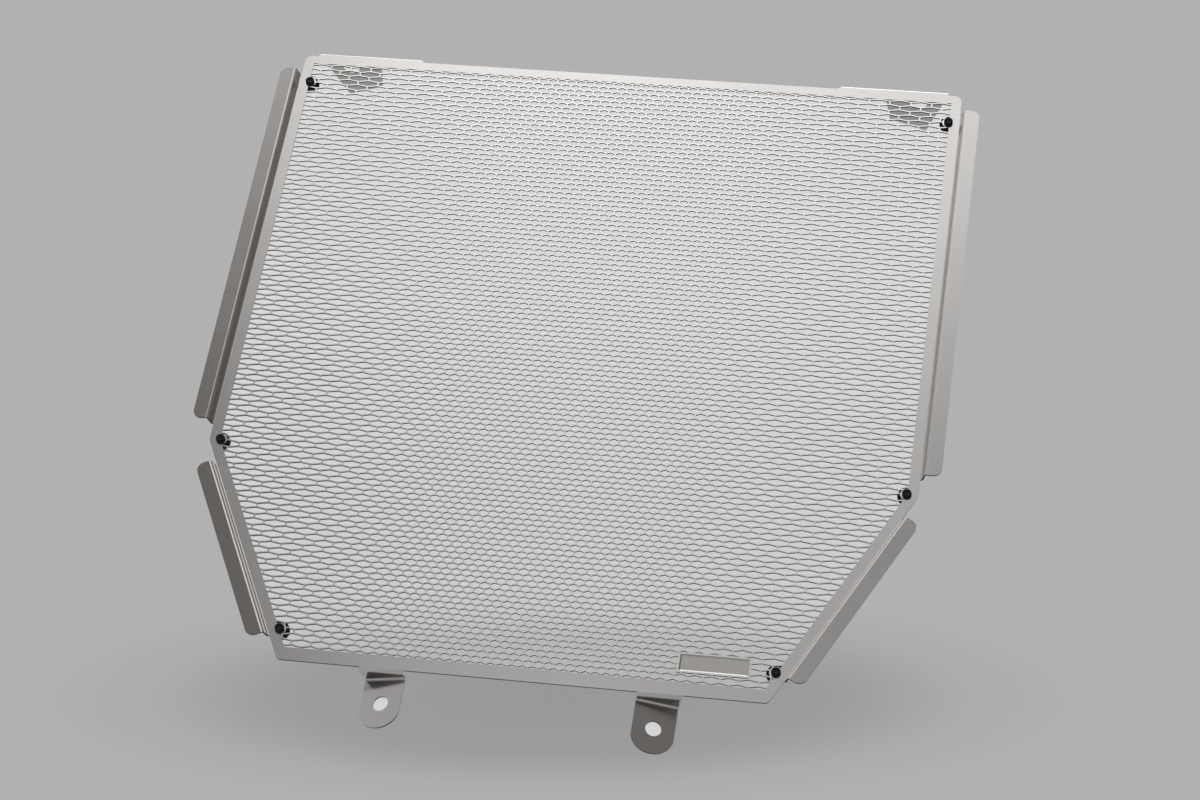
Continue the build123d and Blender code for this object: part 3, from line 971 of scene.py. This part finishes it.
# %% Room and ceiling
world = bpy.data.worlds.new("studio")
bpy.context.scene.world = world
world.use_nodes = True
tree = world.node_tree
calc = calculator(tree)
way = add_node(tree, "ShaderNodeTexCoord").outputs["Generated"]
axes = add_node(tree, "ShaderNodeSeparateXYZ", way)
azimuth = calc("ARCTAN2", axes.outputs["X"], calc("MULTIPLY", axes.outputs["Y"], -1.0))
around = add_node(tree, "ShaderNodeMapRange", azimuth, -pi, pi, 0.0, 1.0).outputs[0]


def ramp(factor, stops, blend="LINEAR"):
    """A ramp through pairs of place and brightness, or place and colour."""
    node = add_node(tree, "ShaderNodeValToRGB", factor)
    node.color_ramp.interpolation = blend
    while len(node.color_ramp.elements) < len(stops):
        node.color_ramp.elements.new(0.5)
    for element, (spot, level) in zip(node.color_ramp.elements, stops):
        element.position = spot
        element.color = (*level, 1) if isinstance(level, tuple) else (level, level, level, 1)
    return node.outputs[0]


def round_the_room(*stops):
    """A ramp by direction, through pairs of degrees from the front and brightness."""
    return ramp(around, [(0.5 + angle / 360, level) for angle, level in stops])


def combine(operation, first, second):
    """Two colours or vectors, added, subtracted or multiplied."""
    return add_node(tree, "ShaderNodeVectorMath", first, second, operation=operation).outputs[0]


dim_warm, dim_right = (0.072, 0.063, 0.052), (0.10, 0.09, 0.08)
walls = round_the_room(
    (-180, 0.44), (-95, 0.44), (-60, 0.42), (-42, 0.49), (-33, dim_warm), (-21, dim_warm), (-18, 0.05),
    (-16, 0.10), (-14.2, 0.45), (-11, 0.56), (-4, 0.40), (3, 0.18), (10, 0.12), (24, dim_right), (62, 0.10),
    (80, 0.12), (94, 0.40), (180, 0.44))
ceiling_share = round_the_room(
    (-95, 0.0), (-60, 0.45), (-33, 0.5), (-22.5, 0.38), (-20.5, 0.45), (-18, 1.7), (-14, 1.15), (-10, 0.82),
    (-5, 0.72), (2, 0.80), (9, 1.0), (26, 1.0), (35, 0.25), (62, 0.2), (95, 0.0))
ceiling = ramp(axes.outputs["Z"], [(sin(radians(elevation)), level) for elevation, level in (
    (22, 0.0), (26, 0.05), (28.5, 0.05), (30.7, 0.0), (33, 0.07), (34.5, 0.22), (36.3, 0.52), (38, 0.92),
    (39.5, 1.2), (41, 1.0), (50, 0.72), (65, 0.65), (90, 0.5))])
room = combine("ADD", walls, combine("MULTIPLY", ceiling_share, ceiling))
print("world has", len(tree.nodes), "nodes for the room")

# %% [markdown]
# ## The backdrop
# Behind the guard the backdrop is an even grey. On top of it, painted light makes it paler through the
# mesh and the two tab holes, and a painted shadow lies below the guard as a soft shade. These are
# directions in the world, worked out once from the panel's corners and the place of the camera's lens, so
# they stay where they are when the view moves round.

# %% Backdrop
behind = calc("GREATER_THAN", axes.outputs["Y"], 0.0)
aside, above = along(tree, way, right), along(tree, way, up)


def patch(middle, half, stops):
    """A soft round patch of painted light, or of painted shade, on the backdrop. Its middle and half size
    are sideways and upwards.
    """
    across = calc("DIVIDE", calc("SUBTRACT", aside, middle[0]), half[0])
    upward = calc("DIVIDE", calc("SUBTRACT", above, middle[1]), half[1])
    reach = calc("SQRT", calc("ADD", calc("MULTIPLY", across, across), calc("MULTIPLY", upward, upward)))
    node = add_node(tree, "ShaderNodeVectorMath", ramp(reach, stops, "EASE"), operation="SCALE")
    tree.links.new(behind, node.inputs["Scale"])
    return node.outputs[0]


panel_sides = []
for near, far in zip(panel_corners, panel_corners[1:] + panel_corners[:1]):
    panel_sides.append(((far * MM - eye).cross(near * MM - eye).normalized(), 0.0))
outside = beyond_sides(tree, way, panel_sides)
# Painted light: a pool that makes the backdrop paler where the camera sees it through the panel.
soft_edge, pale_heights, pale_levels = (-0.0005, -0.0026), (-0.09, 0.03), (0.135, 0.255)
inside = add_node(tree, "ShaderNodeMapRange", outside, *soft_edge, 0.0, 1.0).outputs[0]
paler = add_node(tree, "ShaderNodeMapRange", above, *pale_heights, *pale_levels).outputs[0]
glow = combine("ADD", room, calc("MULTIPLY", calc("MULTIPLY", inside, paler), behind))
# Painted light: a pale spot behind each tab hole.
hole_half, hole_level = (0.0034, 0.0034), 0.33
for _, flip in FLIPS:
    hole_way = ((flat_middle + down * tab_hole_drop) * flip * MM - eye).normalized()
    hole_light_spot = patch((hole_way.dot(right), hole_way.dot(up)), hole_half,
                      [(0.0, hole_level), (0.7, hole_level), (1.0, 0.0)])
    glow = combine("ADD", glow, hole_light_spot)
# Painted shadow: a soft dark patch on the backdrop below the guard.
shade_middle, shade_half = (-0.012, -0.0896), (0.160, 0.034)
shade = patch(shade_middle, shade_half, [(0.0, 0.125), (0.45, 0.11), (0.85, 0.02), (1.0, 0.0)])
tree.links.new(combine("SUBTRACT", glow, shade), tree.nodes["Background"].inputs["Color"])
print("world has", len(tree.nodes), "nodes")

# %% [markdown]
# ## One soft lamp
# A large soft lamp above and a little to the left lights the rubber and gives the top edge its shine. It
# is weak, because the room does most of the work and a strong lamp would make the pale upper band clip to
# white.

# %% Soft lamp
aim = Vector((0, 0, -0.17))
lamp_azimuth, lamp_elevation, lamp_distance = radians(-20), radians(68), 3.0
lamp_way = Vector((sin(lamp_azimuth) * cos(lamp_elevation), -cos(lamp_azimuth) * cos(lamp_elevation),
                   sin(lamp_elevation)))
lamp_data = bpy.data.lights.new("soft light above", "AREA")
lamp_data.shape, lamp_data.size, lamp_data.size_y, lamp_data.energy = "RECTANGLE", 1.4, 1.0, 8.0
lamp = bpy.data.objects.new("soft light above", lamp_data)
lamp.location = aim + lamp_way * lamp_distance
lamp.rotation_euler = lamp_way.to_track_quat("Z", "Y").to_euler()
bpy.context.scene.collection.objects.link(lamp)
bpy.context.scene.view_settings.view_transform = "Standard"
print("lamp at", [round(v, 2) for v in lamp.location], "m")
